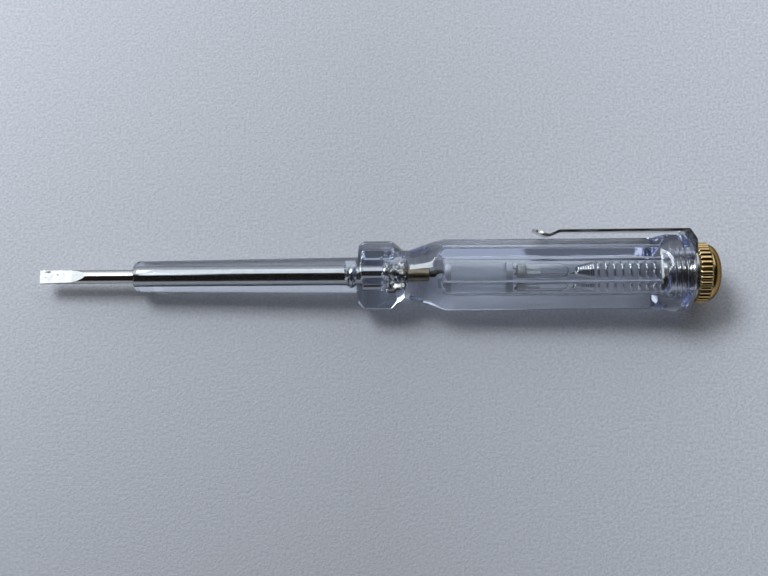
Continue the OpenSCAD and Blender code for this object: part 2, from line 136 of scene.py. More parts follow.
# Stage: each painted floor patch, a painted shadow under the collar and painted light under the handle,
# fades in and out along and across the tool, counted from the collar's resting edge
COLLAR_SHADOW_PATCH = ((-2.0, 0.5, 6.5, 9.0), (-6.5, -4.0, 4.0, 6.5))
HANDLE_LIGHT_PATCH = ((14.0, 20.0, 54.0, 60.0), (-5.0, -3.0, 5.0, 8.0))
FADE_FROM, FADE_TO = 140.0, 380.0
HORIZON = (0.40, 0.42, 0.46, 1.0)
DAYLIGHT = (0.87, 0.94, 1.0)
MIDDLE_X = 70


# Lines and meshes

def filleted(corners, steps=8):
    """Points of a line whose corners (along, across, radius) are rounded to that radius."""
    points = []
    for i, (x, y, radius) in enumerate(corners):
        here = np.array([x, y])
        if radius == 0 or i in (0, len(corners) - 1):
            points.append(here)
            continue
        before = np.array(corners[i - 1][:2]) - here
        after = np.array(corners[i + 1][:2]) - here
        before /= np.linalg.norm(before)
        after /= np.linalg.norm(after)
        half = math.acos(np.clip(before @ after, -1, 1)) / 2
        middle = before + after
        centre = here + middle / np.linalg.norm(middle) * radius / math.sin(half)
        start = here + before * radius / math.tan(half) - centre
        stop = here + after * radius / math.tan(half) - centre
        side = np.sign(start[0] * stop[1] - start[1] * stop[0])
        for k in range(steps + 1):
            w = side * (math.pi - 2 * half) * k / steps
            turn = np.array([[math.cos(w), -math.sin(w)], [math.sin(w), math.cos(w)]])
            points.append(centre + turn @ start)
    return np.array(points)


def spaced(line, step, long_step=None):
    """The same line with extra points, none further apart than step.

    Where long_step is given, runs longer than ten of it get points that far apart instead.
    """
    out = [line[0]]
    for a, b in zip(line[:-1], line[1:]):
        length = np.linalg.norm(b - a)
        plain = long_step and length > 10 * long_step
        count = max(1, math.ceil(length / (long_step if plain else step)))
        out += [a + (b - a) * k / count for k in range(1, count + 1)]
    return np.array(out)


def smooth_min(a, b, width):
    """Lesser of a and b, with the crossing rounded over width."""
    near = np.maximum(width - np.abs(a - b), 0) / width
    return np.minimum(a, b) - near * near * width / 4


def round_rings(xs, radii, angles):
    """Rings of points about the tool axis, a row for each station and a column for each angle."""
    radii = np.broadcast_to(radii, (len(xs), len(angles)))
    along = np.broadcast_to(np.asarray(xs, float)[:, None], radii.shape)
    return np.stack([along, radii * np.cos(angles), radii * np.sin(angles)], -1)


def skin(rings, loop=False):
    """Vertices and faces through closed rings, with a fan over each end, or in a loop without ends."""
    count, columns = rings.shape[:2]
    vertices = rings.reshape(-1, 3)
    rows = np.arange(count if loop else count - 1)
    i, j = np.meshgrid(rows, np.arange(columns), indexing="ij")
    i, j = i.ravel(), j.ravel()
    row, next_row = i * columns, (i + 1) % count * columns
    beside = (j + 1) % columns
    faces = np.stack([row + j, row + beside, next_row + beside, next_row + j], -1).tolist()
    if not loop:
        last = (count - 1) * columns
        middle = len(vertices)
        vertices = np.vstack([vertices, rings[0].mean(0), rings[-1].mean(0)])
        for k in range(columns):
            follow = (k + 1) % columns
            faces.append([middle, follow, k])
            faces.append([middle + 1, last + k, last + follow])
    return vertices, faces


def merged(*parts):
    """Several (vertices, faces) as one."""
    vertices, faces, offset = [], [], 0
    for points, polygons in parts:
        vertices.append(points)
        faces += [[k + offset for k in p] for p in polygons]
        offset += len(points)
    return np.vstack(vertices), faces


def turned(profile, columns=64, step=None):
    """Solid of revolution about the tool axis through (along, radius) points."""
    line = np.asarray(profile, float)
    if step:
        line = spaced(line, step)
    angles = np.linspace(0, TURN, columns, endpoint=False)
    return skin(round_rings(line[:, 0], np.maximum(line[:, 1:2], 1e-3), angles))


def moved(part, offset):
    return part[0] + np.array(offset), part[1]


def wire(points, across, radius, sides=14, bevel=0.4):
    """Round wire along points with a direction across it at each, and slightly rounded ends."""
    points = np.asarray(points, float)
    tangent = np.gradient(points, axis=0)
    tangent /= np.linalg.norm(tangent, axis=1)[:, None]
    across = np.broadcast_to(np.asarray(across, float), points.shape)
    normal = across - tangent * np.sum(across * tangent, axis=1)[:, None]
    normal /= np.linalg.norm(normal, axis=1)[:, None]
    other = np.cross(normal, tangent)
    angles = np.linspace(0, TURN, sides, endpoint=False)
    section = normal[:, None] * np.cos(angles)[:, None] + other[:, None] * np.sin(angles)[:, None]
    rings = points[:, None] + radius * section
    first = points[0] + radius * (1 - bevel) * section[0]
    last = points[-1] + radius * (1 - bevel) * section[-1]
    rings[0] += tangent[0] * radius * bevel
    rings[-1] -= tangent[-1] * radius * bevel
    return skin(np.concatenate([first[None], rings, last[None]]))


def piece(name, part, material, body, node, crease=32, others=()):
    """Object from (vertices, faces) in mm that rides on a body and stands for a CAD node.

    A third item of part gives each face's material: 0 for material, 1 for the first of others, and so on.
    """
    mesh = bpy.data.meshes.new(name)
    mesh.from_pydata((part[0] * MM).tolist(), [], part[1])
    mesh.shade_smooth()
    mesh.set_sharp_from_angle(angle=math.radians(crease))
    mesh.materials.append(material)
    for other in others:
        mesh.materials.append(other)
    if others:
        mesh.polygons.foreach_set("material_index", np.asarray(part[2], dtype=np.int32))
    made = bpy.data.objects.new(name, mesh)
    bpy.context.scene.collection.objects.link(made)
    if body:
        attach(made, body)
    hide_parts(node)
    return made


# Materials

class Shader:
    """One material's node tree, with short calls to add nodes. Positions are in millimetres."""

    def __init__(self, name):
        self.material = bpy.data.materials.new(name)
        self.material.use_nodes = True
        self.tree = self.material.node_tree
        self.surface = self.tree.nodes["Principled BSDF"]
        self.output = self.tree.nodes["Material Output"]
        place = self.node("ShaderNodeTexCoord").outputs["Object"]
        scaled = self.node("ShaderNodeVectorMath", operation="SCALE")
        self.tree.links.new(place, scaled.inputs[0])
        scaled.inputs["Scale"].default_value = 1 / MM
        self.place = scaled.outputs[0]

    def node(self, kind, **settings):
        made = self.tree.nodes.new(kind)
        for key, value in settings.items():
            setattr(made, key, value)
        return made

    def put(self, socket, value):
        """Sets a socket, or links it if value is another node's socket."""
        if isinstance(value, bpy.types.NodeSocket):
            self.tree.links.new(value, socket)
        else:
            socket.default_value = value

    def look(self, **values):
        """Sets sockets of the surface; Base_Color stands for Base Color."""
        for key, value in values.items():
            self.put(self.surface.inputs[key.replace("_", " ")], value)
        return self.material

    def stretched(self, scale):
        """Positions scaled by three factors, for streaks along one direction."""
        made = self.node("ShaderNodeVectorMath", operation="MULTIPLY")
        self.put(made.inputs[0], self.place)
        made.inputs[1].default_value = scale
        return made.outputs[0]

    def noise(self, scale, detail=3.0, roughness=0.5, place=None):
        made = self.node("ShaderNodeTexNoise")
        self.put(made.inputs["Vector"], place or self.place)
        made.inputs["Scale"].default_value = scale
        made.inputs["Detail"].default_value = detail
        made.inputs["Roughness"].default_value = roughness
        return made.outputs["Fac"]

    def ranged(self, value, low, high, to_low=0.0, to_high=1.0):
        """Value mapped from low..high to to_low..to_high, held at the ends."""
        made = self.node("ShaderNodeMapRange")
        for socket, number in zip(made.inputs[1:5], (low, high, to_low, to_high)):
            socket.default_value = number
        self.put(made.inputs[0], value)
        return made.outputs[0]

    def between(self, value, low, full, still_full, high):
        """1 from full to still_full, falling to 0 at low and at high."""
        return self.math("MULTIPLY", self.ranged(value, low, full), self.ranged(value, high, still_full))

    def math(self, operation, a, b=0.0):
        made = self.node("ShaderNodeMath", operation=operation)
        self.put(made.inputs[0], a)
        self.put(made.inputs[1], b)
        return made.outputs[0]

    def mixed(self, factor, a, b):
        """Colour a at factor 0 and b at factor 1."""
        made = self.node("ShaderNodeMix", data_type="RGBA")
        self.put(made.inputs["Factor"], factor)
        self.put(made.inputs[6], a)
        self.put(made.inputs[7], b)
        return made.outputs[2]

    def bump(self, height, depth, after=None):
        """Surface relief: height 0..1 stands for depth mm."""
        made = self.node("ShaderNodeBump")
        made.inputs["Strength"].default_value = 1.0
        made.inputs["Distance"].default_value = depth * MM
        self.put(made.inputs["Height"], height)
        if after is not None:
            self.put(made.inputs["Normal"], after)
        return made.outputs["Normal"]

    def split(self):
        made = self.node("ShaderNodeSeparateXYZ")
        self.put(made.inputs[0], self.place)
        return made.outputs


def rgb(red, green, blue):
    return (red, green, blue, 1.0)


def plastic_material(name, dull=0.0, bend=1.5, deep=False):
    """Clear moulding with flow lines along it and handling smears, bluer as far as the neck.

    dull is added roughness and bend the refractive index. deep gives a violet-blue cast that grows with
    the way through the plastic. Only the outer skin is deep: the cast starts and ends where light
    crosses it.
    """
    m = Shader(name)
    flow = m.noise(0.35, 2.0, place=m.stretched((0.35, 1.0, 1.0)))
    smear = m.noise(0.8, 4.0, 0.6)
    streak = m.noise(2.0, 2.0, place=m.stretched((0.02, 1.0, 1.0)))
    relief = m.bump(streak, 0.004, m.bump(flow, 0.012))
    rearward = m.ranged(m.split()[0], NECK_X - 0.5, NECK_X + 0.5)
    tint = m.mixed(rearward, rgb(0.925, 0.958, 1.0), rgb(0.972, 0.982, 1.0))
    m.look(Base_Color=tint, Transmission_Weight=1.0, IOR=bend, Normal=relief)
    m.look(Roughness=m.ranged(smear, 0.45, 0.8, dull + 0.012, dull + 0.05))
    if deep:
        depth = m.node("ShaderNodeVolumeAbsorption")
        depth.inputs["Color"].default_value = rgb(0.48, 0.57, 0.84)
        depth.inputs["Density"].default_value = 28.0
        m.put(m.output.inputs["Volume"], depth.outputs[0])
    return m.material


def nickel_material():
    """Plated rod with fine drawing lines along it, ears darkened as painted shade, a browned end and a dark
    nib.
    """
    m = Shader("blade_nickel")
    x = m.split()[0]
    drawn = m.noise(6.0, 4.0, 0.6, m.stretched((0.04, 1.0, 1.0)))
    blotch = m.noise(1.1, 3.0, 0.6)
    plated = m.mixed(m.ranged(blotch, 0.35, 0.75), rgb(0.66, 0.655, 0.64), rgb(0.74, 0.735, 0.72))
    burnt = m.ranged(x, NECK_X - 4.5, NECK_X - 1.0)
    browned = m.mixed(burnt, plated, rgb(0.35, 0.29, 0.195))
    # Painted shade: the ears and the rod about the neck are darkened towards black.
    ears = m.between(x, NECK_X - 4.4, NECK_X - 3.6, NECK_X + 0.5, NECK_X + 1.0)
    ears_shaded = m.mixed(m.ranged(ears, 0, 1, 0.0, 0.75), browned, rgb(0.10, 0.09, 0.075))
    nib_x = NIB_END_X - NIB_L
    colour = m.mixed(m.ranged(x, nib_x - 0.25, nib_x), ears_shaded, rgb(0.09, 0.08, 0.065))
    rough = m.math("ADD", m.ranged(drawn, 0.3, 0.7, 0.06, 0.11), m.ranged(burnt, 0, 1, 0.0, 0.26))
    m.look(Specular_Tint=rgb(0.22, 0.22, 0.22))
    return m.look(Base_Color=colour, Metallic=1.0, Roughness=rough, Normal=m.bump(drawn, 0.0015))


def ground_material():
    """Ground flats of the tip: scratches across, worn bright, with dark specks near the end."""
    m = Shader("blade_ground")
    x, y, _ = m.split()
    scratch = m.noise(3.0, 5.0, 0.7, m.stretched((0.3, 1.0, 0.3)))
    dent = m.noise(1.3, 4.0, 0.65, m.stretched((0.5, 1.0, 0.6)))
    ragged = m.noise(2.5, 3.0, 0.6)
    specks = None
    for middle, size, depth in TIP_SPECKS:
        along = m.math("DIVIDE", m.math("SUBTRACT", x, middle[0]), size[0])
        aside = m.math("DIVIDE", m.math("SUBTRACT", y, middle[1]), size[1])
        far = m.math("ADD", m.math("MULTIPLY", along, along), m.math("MULTIPLY", aside, aside))
        rim = m.math("ADD", far, m.ranged(ragged, 0.3, 0.7, -0.5, 0.5))
        speck = m.ranged(rim, 1.0, 0.4, 0.0, depth)
        specks = speck if specks is None else m.math("MAXIMUM", specks, speck)
    worn = m.mixed(m.ranged(scratch, 0.3, 0.7), rgb(0.72, 0.725, 0.72), rgb(0.80, 0.80, 0.79))
    rubbed = m.mixed(m.ranged(dent, 0.5, 0.75, 0.0, 0.4), worn, rgb(0.52, 0.52, 0.51))
    colour = m.mixed(specks, rubbed, rgb(0.10, 0.095, 0.11))
    relief = m.bump(dent, 0.02, m.bump(scratch, 0.008))
    rough = m.ranged(dent, 0.3, 0.7, 0.40, 0.55)
    return m.look(Base_Color=colour, Metallic=0.3, Roughness=rough, Normal=relief)


def lacquer_material():
    """Pale resistor lacquer that lets light through, with fine speckle and a slight orange peel."""
    m = Shader("resistor_lacquer")
    speckle = m.noise(9.0, 4.0, 0.7)
    cloud = m.noise(0.6, 2.0)
    base = m.mixed(m.ranged(cloud, 0.3, 0.7), rgb(0.90, 0.92, 0.95), rgb(0.95, 0.97, 0.99))
    colour = m.mixed(m.ranged(speckle, 0.55, 0.75, 0.0, 0.2), base, rgb(0.78, 0.80, 0.84))
    rough = m.ranged(cloud, 0.3, 0.7, 0.35, 0.45)
    m.look(Transmission_Weight=0.7, IOR=1.1)
    return m.look(Base_Color=colour, Roughness=rough, Normal=m.bump(speckle, 0.004))


def tinned_material():
    """Dull tinned end caps with small dents."""
    m = Shader("resistor_metal")
    dents = m.noise(3.0, 3.0, 0.6)
    colour = m.mixed(m.ranged(dents, 0.3, 0.7), rgb(0.60, 0.63, 0.68), rgb(0.68, 0.71, 0.76))
    rough = m.ranged(dents, 0.3, 0.7, 0.45, 0.6)
    return m.look(Base_Color=colour, Metallic=0.3, Roughness=rough, Normal=m.bump(dents, 0.01))


def glass_material():
    """Thin drawn glass, faintly green, with a grey haze of spent metal near the electrodes."""
    m = Shader("lamp_glass")
    ripple = m.noise(0.9, 2.0, place=m.stretched((0.3, 1.0, 1.0)))
    x = m.split()[0]
    haze = m.math("MULTIPLY", m.ranged(x, ELECTRODE_END_X + 3, ELECTRODE_X), m.noise(0.8, 3.0))
    tint = m.mixed(haze, rgb(0.99, 1.0, 0.995), rgb(0.95, 0.965, 0.955))
    rough = m.ranged(haze, 0, 0.6, 0.01, 0.06)
    m.look(Transmission_Weight=1.0, IOR=1.08)
    return m.look(Base_Color=tint, Roughness=rough, Normal=m.bump(ripple, 0.02))


def bead_material():
    """Milky glass bead that seals the leads, with fine swirls."""
    m = Shader("lamp_bead")
    swirl = m.noise(1.5, 3.0, 0.6)
    tint = m.mixed(m.ranged(swirl, 0.3, 0.7), rgb(0.78, 0.80, 0.76), rgb(0.86, 0.88, 0.84))
    rough = m.ranged(swirl, 0.3, 0.7, 0.15, 0.3)
    m.look(Transmission_Weight=0.4, IOR=1.2)
    return m.look(Base_Color=tint, Roughness=rough, Normal=m.bump(swirl, 0.02))


def electrode_material():
    """Nickel rods under a pale chalky coating that is rubbed thin in places."""
    m = Shader("lamp_electrode")
    chalk = m.noise(4.0, 5.0, 0.65)
    thin = m.ranged(m.noise(1.6, 3.0), 0.55, 0.68)
    coat = m.mixed(m.ranged(chalk, 0.3, 0.7), rgb(0.90, 0.90, 0.88), rgb(0.96, 0.96, 0.94))
    colour = m.mixed(thin, coat, rgb(0.74, 0.73, 0.71))
    rough = m.ranged(chalk, 0.3, 0.7, 0.5, 0.7)
    m.look(Subsurface_Weight=1.0, Subsurface_Radius=(1.0, 1.0, 1.0), Subsurface_Scale=0.5 * MM)
    return m.look(Base_Color=colour, Roughness=rough, Normal=m.bump(chalk, 0.015))


def lead_material():
    """Thin sealing wire with a dull, slightly coppery oxide."""
    m = Shader("lamp_lead")
    oxide = m.noise(2.2, 4.0, 0.6)
    colour = m.mixed(m.ranged(oxide, 0.35, 0.65), rgb(0.52, 0.49, 0.45), rgb(0.38, 0.31, 0.26))
    rough = m.ranged(oxide, 0.3, 0.7, 0.25, 0.45)
    return m.look(Base_Color=colour, Metallic=1.0, Roughness=rough, Normal=m.bump(oxide, 0.006))


def spring_material():
    """Bright plated spring wire with die lines and dulled patches."""
    m = Shader("spring_steel")
    dull = m.noise(1.2, 4.0, 0.6)
    lines = m.noise(14.0, 2.0)
    colour = m.mixed(m.ranged(dull, 0.35, 0.7), rgb(0.88, 0.88, 0.88), rgb(0.70, 0.70, 0.69))
    rough = m.ranged(dull, 0.3, 0.7, 0.16, 0.26)
    return m.look(Base_Color=colour, Metallic=1.0, Roughness=rough, Normal=m.bump(lines, 0.004))


def brass_material():
    """Turned brass with lathe rings, painted shade darkening the knurl's grooves and the dome, and a grey
    shank.
    """
    m = Shader("brass")
    x, y, z = m.split()
    radius = m.math("SQRT", m.math("ADD", m.math("MULTIPLY", y, y), m.math("MULTIPLY", z, z)))
    dome_x = KNOB_X + KNURL_L
    knurl = m.between(x, KNOB_X, KNOB_X + 0.1, dome_x - 0.2, dome_x)
    groove = m.math("MULTIPLY", knurl, m.ranged(radius, KNOB_R - 0.05, KNOB_R - KNURL_DEPTH))
    patch = m.noise(0.9, 5.0, 0.65)
    lathe_feed = 0.12
    rings = m.math("SINE", m.math("MULTIPLY", radius, TURN / lathe_feed))
    clean = m.mixed(m.ranged(patch, 0.35, 0.75), rgb(0.90, 0.66, 0.33), rgb(0.67, 0.47, 0.215))
    # Painted shade: the knurl's grooves are darkened.
    groove_shaded = m.mixed(m.ranged(groove, 0, 1, 0, 0.85), clean, rgb(0.16, 0.095, 0.035))
    shank = m.ranged(x, REAR_X, REAR_X - 0.2)
    # Painted shade: the dome is darkened towards brown.
    dome = m.ranged(x, dome_x, dome_x + 0.4, 0.0, 0.62)
    domed = m.mixed(dome, groove_shaded, rgb(0.30, 0.19, 0.085))
    colour = m.mixed(shank, domed, rgb(0.17, 0.155, 0.13))
    rough = m.math("ADD", m.ranged(patch, 0.3, 0.7, 0.10, 0.2), m.ranged(shank, 0, 1, 0.0, 0.35))
    relief = m.bump(rings, 0.004, m.bump(patch, 0.01))
    m.look(Specular_Tint=rgb(0.30, 0.22, 0.14))
    return m.look(Base_Color=colour, Metallic=1.0, Roughness=rough, Normal=relief)


def clip_material():
    """Nickel-plated strip with rolling lines along it and small rubs."""
    m = Shader("clip_steel")
    rolled = m.noise(5.0, 4.0, 0.6, m.stretched((0.06, 1.0, 1.0)))
    rub = m.noise(0.7, 4.0, 0.65)
    colour = m.mixed(m.ranged(rub, 0.4, 0.75), rgb(0.54, 0.54, 0.53), rgb(0.38, 0.38, 0.37))
    rough = m.math("ADD", m.ranged(rolled, 0.3, 0.7, 0.12, 0.22), m.ranged(rub, 0.5, 0.8, 0.0, 0.12))
    worn = m.noise(2.4, 3.0, 0.6, m.stretched((0.10, 1.0, 1.0)))
    metal = m.ranged(worn, 0.45, 0.6, 1.0, 0.8)
    return m.look(Base_Color=colour, Metallic=metal, Roughness=rough, Normal=m.bump(rolled, 0.006))


def floor_material():
    """Pale top with a pebbled grain, with painted shade that darkens it in front and in the middle, and
    painted light that makes it paler to the right.

    A painted shadow under the collar and a painted pool of near-white light under the handle set the tone
    seen through the plastic.
    Far out it turns into the colour of the room's horizon.
    """
    m = Shader("floor")
    grain = m.noise(1.7, 3.0, 0.6)
    x, y, _ = m.split()
    # Painted shade and light: the floor is darker in front and paler behind.
    plain = m.mixed(m.ranged(y, -60.0, 75.0), rgb(0.56, 0.56, 0.60), rgb(0.76, 0.765, 0.82))
    aside = m.ranged(x, -87.0, 93.0, -1.0, 1.0)
    across = m.math("MULTIPLY", aside, aside)
    # Painted shade: a darker band along the middle.
    shaded = m.mixed(m.ranged(across, 0.0, 1.0, 0.22, 0.0), plain, rgb(0.30, 0.30, 0.32))
    # Painted light: paler towards the right.
    lit = m.mixed(m.ranged(aside, 0.0, 1.0, 0.0, 0.55), shaded, rgb(0.90, 0.91, 0.98))
    grained = m.mixed(m.ranged(grain, 0.35, 0.65, 0.0, 0.42), lit, rgb(0.36, 0.36, 0.38))
    collar, handle = (m.math("MULTIPLY", m.between(x, *along), m.between(y, *wide))
                      for along, wide in (COLLAR_SHADOW_PATCH, HANDLE_LIGHT_PATCH))
    # Painted shadow: a dark patch under the collar.
    collar_shadowed = m.mixed(m.ranged(collar, 0, 1, 0.0, 0.55), grained, rgb(0.10, 0.10, 0.12))
    # Painted light: a near-white patch under the handle.
    colour = m.mixed(handle, collar_shadowed, rgb(1.0, 0.985, 0.97))
    m.look(Base_Color=colour, Roughness=0.5, Specular_IOR_Level=0.3, Normal=m.bump(grain, 0.14))
    path = m.node("ShaderNodeLightPath").outputs
    mirrored = m.math("MAXIMUM", path["Is Glossy Ray"], path["Is Transmission Ray"])
    shown = m.math("MAXIMUM", path["Is Camera Ray"], mirrored)
    reach = m.math("SQRT", m.math("ADD", m.math("MULTIPLY", x, x), m.math("MULTIPLY", y, y)))
    pale = m.node("ShaderNodeEmission")
    pale.inputs["Color"].default_value = HORIZON
    blend = m.node("ShaderNodeMixShader")
    m.put(blend.inputs[0], m.math("MULTIPLY", shown, m.ranged(reach, FADE_FROM, FADE_TO)))
    m.put(blend.inputs[1], m.surface.outputs[0])
    m.put(blend.inputs[2], pale.outputs[0])
    m.put(m.output.inputs["Surface"], blend.outputs[0])
    return m.material


# Clear moulding

def hexagon_angles():
    """Angles round the axis, closer together where the flats meet the trimmed corners."""
    turn, corner = 360 / FLATS, 22
    sector = np.concatenate([np.arange(-corner, corner, 2.0), np.arange(corner, turn - corner, 0.8)])
    return np.radians(np.concatenate([90 + k * turn + sector for k in range(FLATS)]))


def thread_radius(xs, angles):
    """Outer surface of the cap's right-hand thread."""
    phase = (xs[:, None] / PITCH - angles[None, :] / TURN) % 1.0
    rise = np.clip((1 - np.abs(2 * phase - 1) - 0.25) / 0.625, 0, 1)
    return THREAD_ROOT_R + (THREAD_CREST_R - THREAD_ROOT_R) * rise


def shrink_void(first, last, half_y, half_z, crinkle, seed):
    """Crinkled air gap that the shrinking moulding left round the rod, closed inside the rod at both ends.

    half_y is its reach on the +Y side, and it reaches less far on the other. crinkle is its waves' height.
    """
    rows, columns, waves, taper = 72, 112, 40, 0.35
    rng = np.random.default_rng(seed)
    xs = np.linspace(first, last, rows)
    angles = np.linspace(0, TURN, columns, endpoint=False)
    rough = np.zeros((rows, columns))
    for _ in range(waves):
        along, around = rng.uniform(3.0, 9.0), rng.integers(3, 13)
        phase = rng.uniform(0, TURN, 2)
        rough += np.sin(along * xs[:, None] + phase[0]) * np.sin(around * angles + phase[1])
    rough /= np.abs(rough).max()
    reach = np.where(np.cos(angles) > 0, half_y, 0.6 * half_y)
    envelope = reach * half_z / np.hypot(half_z * np.cos(angles), reach * np.sin(angles))
    ends = np.clip(np.minimum(xs - first, last - xs) / taper, 0, 1)[:, None]
    inner = BLADE_R - 0.08
    radius = inner + (np.maximum(envelope + crinkle * rough, inner) - inner) * np.sqrt(ends)
    return skin(round_rings(xs, radius, angles)[::-1])


def bubbles():
    """Small round voids in the plastic about the ears, clear of the crinkled gap and of each other."""
    rng = np.random.default_rng(7)
    angles = np.linspace(0, TURN, 16, endpoint=False)
    arc = np.linspace(0, math.pi, 9)
    kept = []
    while len(kept) < BUBBLE_N:
        x = rng.uniform(NECK_X - 4.6, NECK_X + 0.2)
        y = rng.uniform(0.2, 3.4) if rng.random() < 0.65 else rng.uniform(-3.0, -0.6)
        z = rng.uniform(0.4, 2.4)
        radius = rng.uniform(BUBBLE_MIN_R, BUBBLE_MAX_R)
        clear = radius + 0.3
        outside_gap = math.hypot(y / (EAR_GAP[0] + clear), z / (EAR_GAP[1] + clear)) > 1
        apart = all(math.dist((x, y, z), other[:3]) > radius + other[3] + 0.03 for other in kept)
        if outside_gap and apart:
            kept.append((x, y, z, radius))
    made = []
    for x, y, z, radius in kept:
        girth = radius * np.maximum(np.sin(arc), 0.02)[:, None]
        ball = round_rings(-radius * np.cos(arc), girth, angles)
        made.append(moved(skin(ball[::-1]), (x, y, z)))
    return made


def outer_rings(angles):
    """Sleeve, hexagonal collar, neck, hexagonal handle and round band, up to the thread's mouth."""
    outline = filleted([
        (SLEEVE_X, 0.01, 0), (SLEEVE_X, SLEEVE_FRONT_R, SLEEVE_ROUND), (COLLAR_X, SLEEVE_REAR_R, 0.35),
        (COLLAR_X, COLLAR_R - COLLAR_FRONT, 0.25), (COLLAR_X + COLLAR_FRONT, COLLAR_R, 0.5),
        (NECK_X - COLLAR_REAR, COLLAR_R, 0.6), (NECK_X, NECK_R, 0.45), (SHOULDER_X, NECK_R, 0.6),
        (HANDLE_X, HANDLE_R, 2.0), (RUNOUT_X, HANDLE_R, 0.8), (BAND_X, BAND_R, 0.8),
        (REAR_X, BAND_R, BAND_ROUND), (REAR_X, THREAD_CREST_R + 0.3, 0)])
    outline = spaced(outline, 0.6, 2.5)
    runout_rise = (BAND_R - HANDLE_FLAT) * (1 + 1 / RUNOUT_L)
    flats = filleted([
        (SLEEVE_X, COLLAR_FLAT, 0), (NECK_X, COLLAR_FLAT, 0), (SHOULDER_X, HANDLE_FLAT, 0),
        (RUNOUT_X, HANDLE_FLAT, 0.8), (BAND_X + 1, HANDLE_FLAT + runout_rise, 0)])
    xs, circle = outline[:, 0], outline[:, 1:]
    flat = np.interp(xs, flats[:, 0], flats[:, 1])[:, None]
    sector = TURN / FLATS
    off = (angles - math.pi / 2 + sector / 2) % sector - sector / 2
    return round_rings(xs, smooth_min(circle, flat / np.cos(off), EDGE_BLEND), angles)


def inner_rings(angles):
    """Thread and bore from the mouth inwards, and each ring's mark, as moulding says."""
    tapped = np.linspace(REAR_X, REAR_X - THREAD_L, 75)
    run_in = np.clip((tapped - tapped[-1]) / 0.6, 0, 1)[:, None]
    mouth = (THREAD_CREST_R + 0.3 - (REAR_X - tapped))[:, None]
    cut = np.maximum(BORE_R, thread_radius(tapped, angles) + THREAD_FIT)
    tapped_rings = round_rings(tapped, np.maximum(BORE_R + (cut - BORE_R) * run_in, mouth), angles)
    bore_end = 0.9
    bore = spaced(filleted([
        (REAR_X - THREAD_L - 0.3, BORE_R, 0), (BORE_X, BORE_R, bore_end), (BORE_X, 0.01, 0)]), 1.5, 2.5)
    hollow = round_rings(bore[:, 0], bore[:, 1:], angles)
    xs = np.concatenate([tapped, bore[:, 0]])
    dull = (xs > REAR_X - THREAD_L - 0.1) | (xs < BORE_X + bore_end)
    return np.concatenate([tapped_rings, hollow]), np.where(dull, 2, 3)


def moulding():
    """The clear body, hollow behind the blade's nib, with air gaps and bubbles in it.

    Faces are marked 0 outside, 1 on gaps and bubbles, 2 on the thread and the bore's end, 3 in the bore.
    """
    angles = hexagon_angles()
    outside = outer_rings(angles)
    inside, ring_marks = inner_rings(angles)
    bulge = shrink_void(COLLAR_X - 2.9, COLLAR_X - 0.2, *BULGE_GAP, crinkle=0.07, seed=11)
    ears = shrink_void(NECK_X - 4.3, NECK_X + 0.8, *EAR_GAP, crinkle=0.10, seed=4)
    shell = skin(np.concatenate([outside, inside]))
    points, faces = merged(shell, bulge, ears, *bubbles())
    inner_marks = np.repeat(ring_marks, len(angles))
    first = len(outside) * len(angles)
    marks = np.zeros(len(faces), int)
    marks[first:first + len(inner_marks)] = inner_marks
    marks[len(shell[1]):] = 1
    return points, faces, marks


# Blade

def tip_rings(xs, side, flat):
    """Wedge-ground tip: at each station two edges, as many points as side, and two flats between them."""
    root = math.sqrt(BLADE_R ** 2 - TIP_ROOT_T ** 2 / 4)
    stations = [0, TIP_L - TIP_RUN_L, TIP_L]
    heights = [TIP_T / 2, TIP_ROOT_T / 2, BLADE_R * math.sin(side[-1])]
    rings = []
    for x in xs:
        height = np.interp(x, stations, heights)
        spread = TIP_W / 2 + (root - TIP_W / 2) * min(x / FLARE_L, 1)
        if x == 0:
            height, spread = height - 0.05, spread - 0.05
        reach = math.asin(min(height / BLADE_R, 1))
        edge = np.linspace(-reach, reach, len(side))
        spread = spread if x < FLARE_L else 0
        width = np.maximum(BLADE_R * np.cos(edge), spread - 0.02 * (np.abs(edge) / reach) ** 4)
        right = np.stack([width, BLADE_R * np.sin(edge)], -1)
        top = np.stack([-flat * right[-1, 0], np.full(len(flat), height)], -1)
        rings.append(np.concatenate([right, top, -right, -top]))
    section = np.array(rings)
    along = np.broadcast_to(xs[:, None, None], section.shape[:2] + (1,))
    return np.concatenate([along, section], -1)


def rod_rings(angles):
    """Plain rod behind the tip with its swaged bulge, crimped ears, thinner end and contact nib."""
    bulge_x, ear_x = COLLAR_X - 1.4, NECK_X - EAR_L / 2 + NECK_L / 2
    nib_x = NIB_END_X - NIB_L
    line = spaced(filleted([
        (TIP_L + 0.1, BLADE_R, 0), (NECK_X, BLADE_R, 0), (NECK_X + 0.8, STEP_R, 0.2),
        (nib_x - 0.2, STEP_R, 0), (nib_x, STEP_R - 0.2, 0.1), (nib_x, NIB_R, 0.1),
        (NIB_END_X, NIB_R, 0.2), (NIB_END_X, 0.02, 0)]), 0.25)
    x, radius = line[:, :1], line[:, 1:]
    swell = np.clip(1 - np.abs(x - bulge_x) / (BULGE_L / 2), 0, 1)
    radius = radius + (BULGE_R - BLADE_R) * np.sin(swell * math.pi / 2) ** 2
    ends = np.clip((EAR_L / 2 - np.abs(x - ear_x)) / 0.5, 0, 1)
    plate = smooth_min(EAR_W / 2 / np.maximum(np.abs(np.cos(angles)), 1e-3),
                       EAR_T / 2 / np.maximum(np.abs(np.sin(angles)), 1e-3), 0.3)
    radius = np.maximum(radius, radius + (plate - radius) * ends)
    return round_rings(x[:, 0], radius, angles)


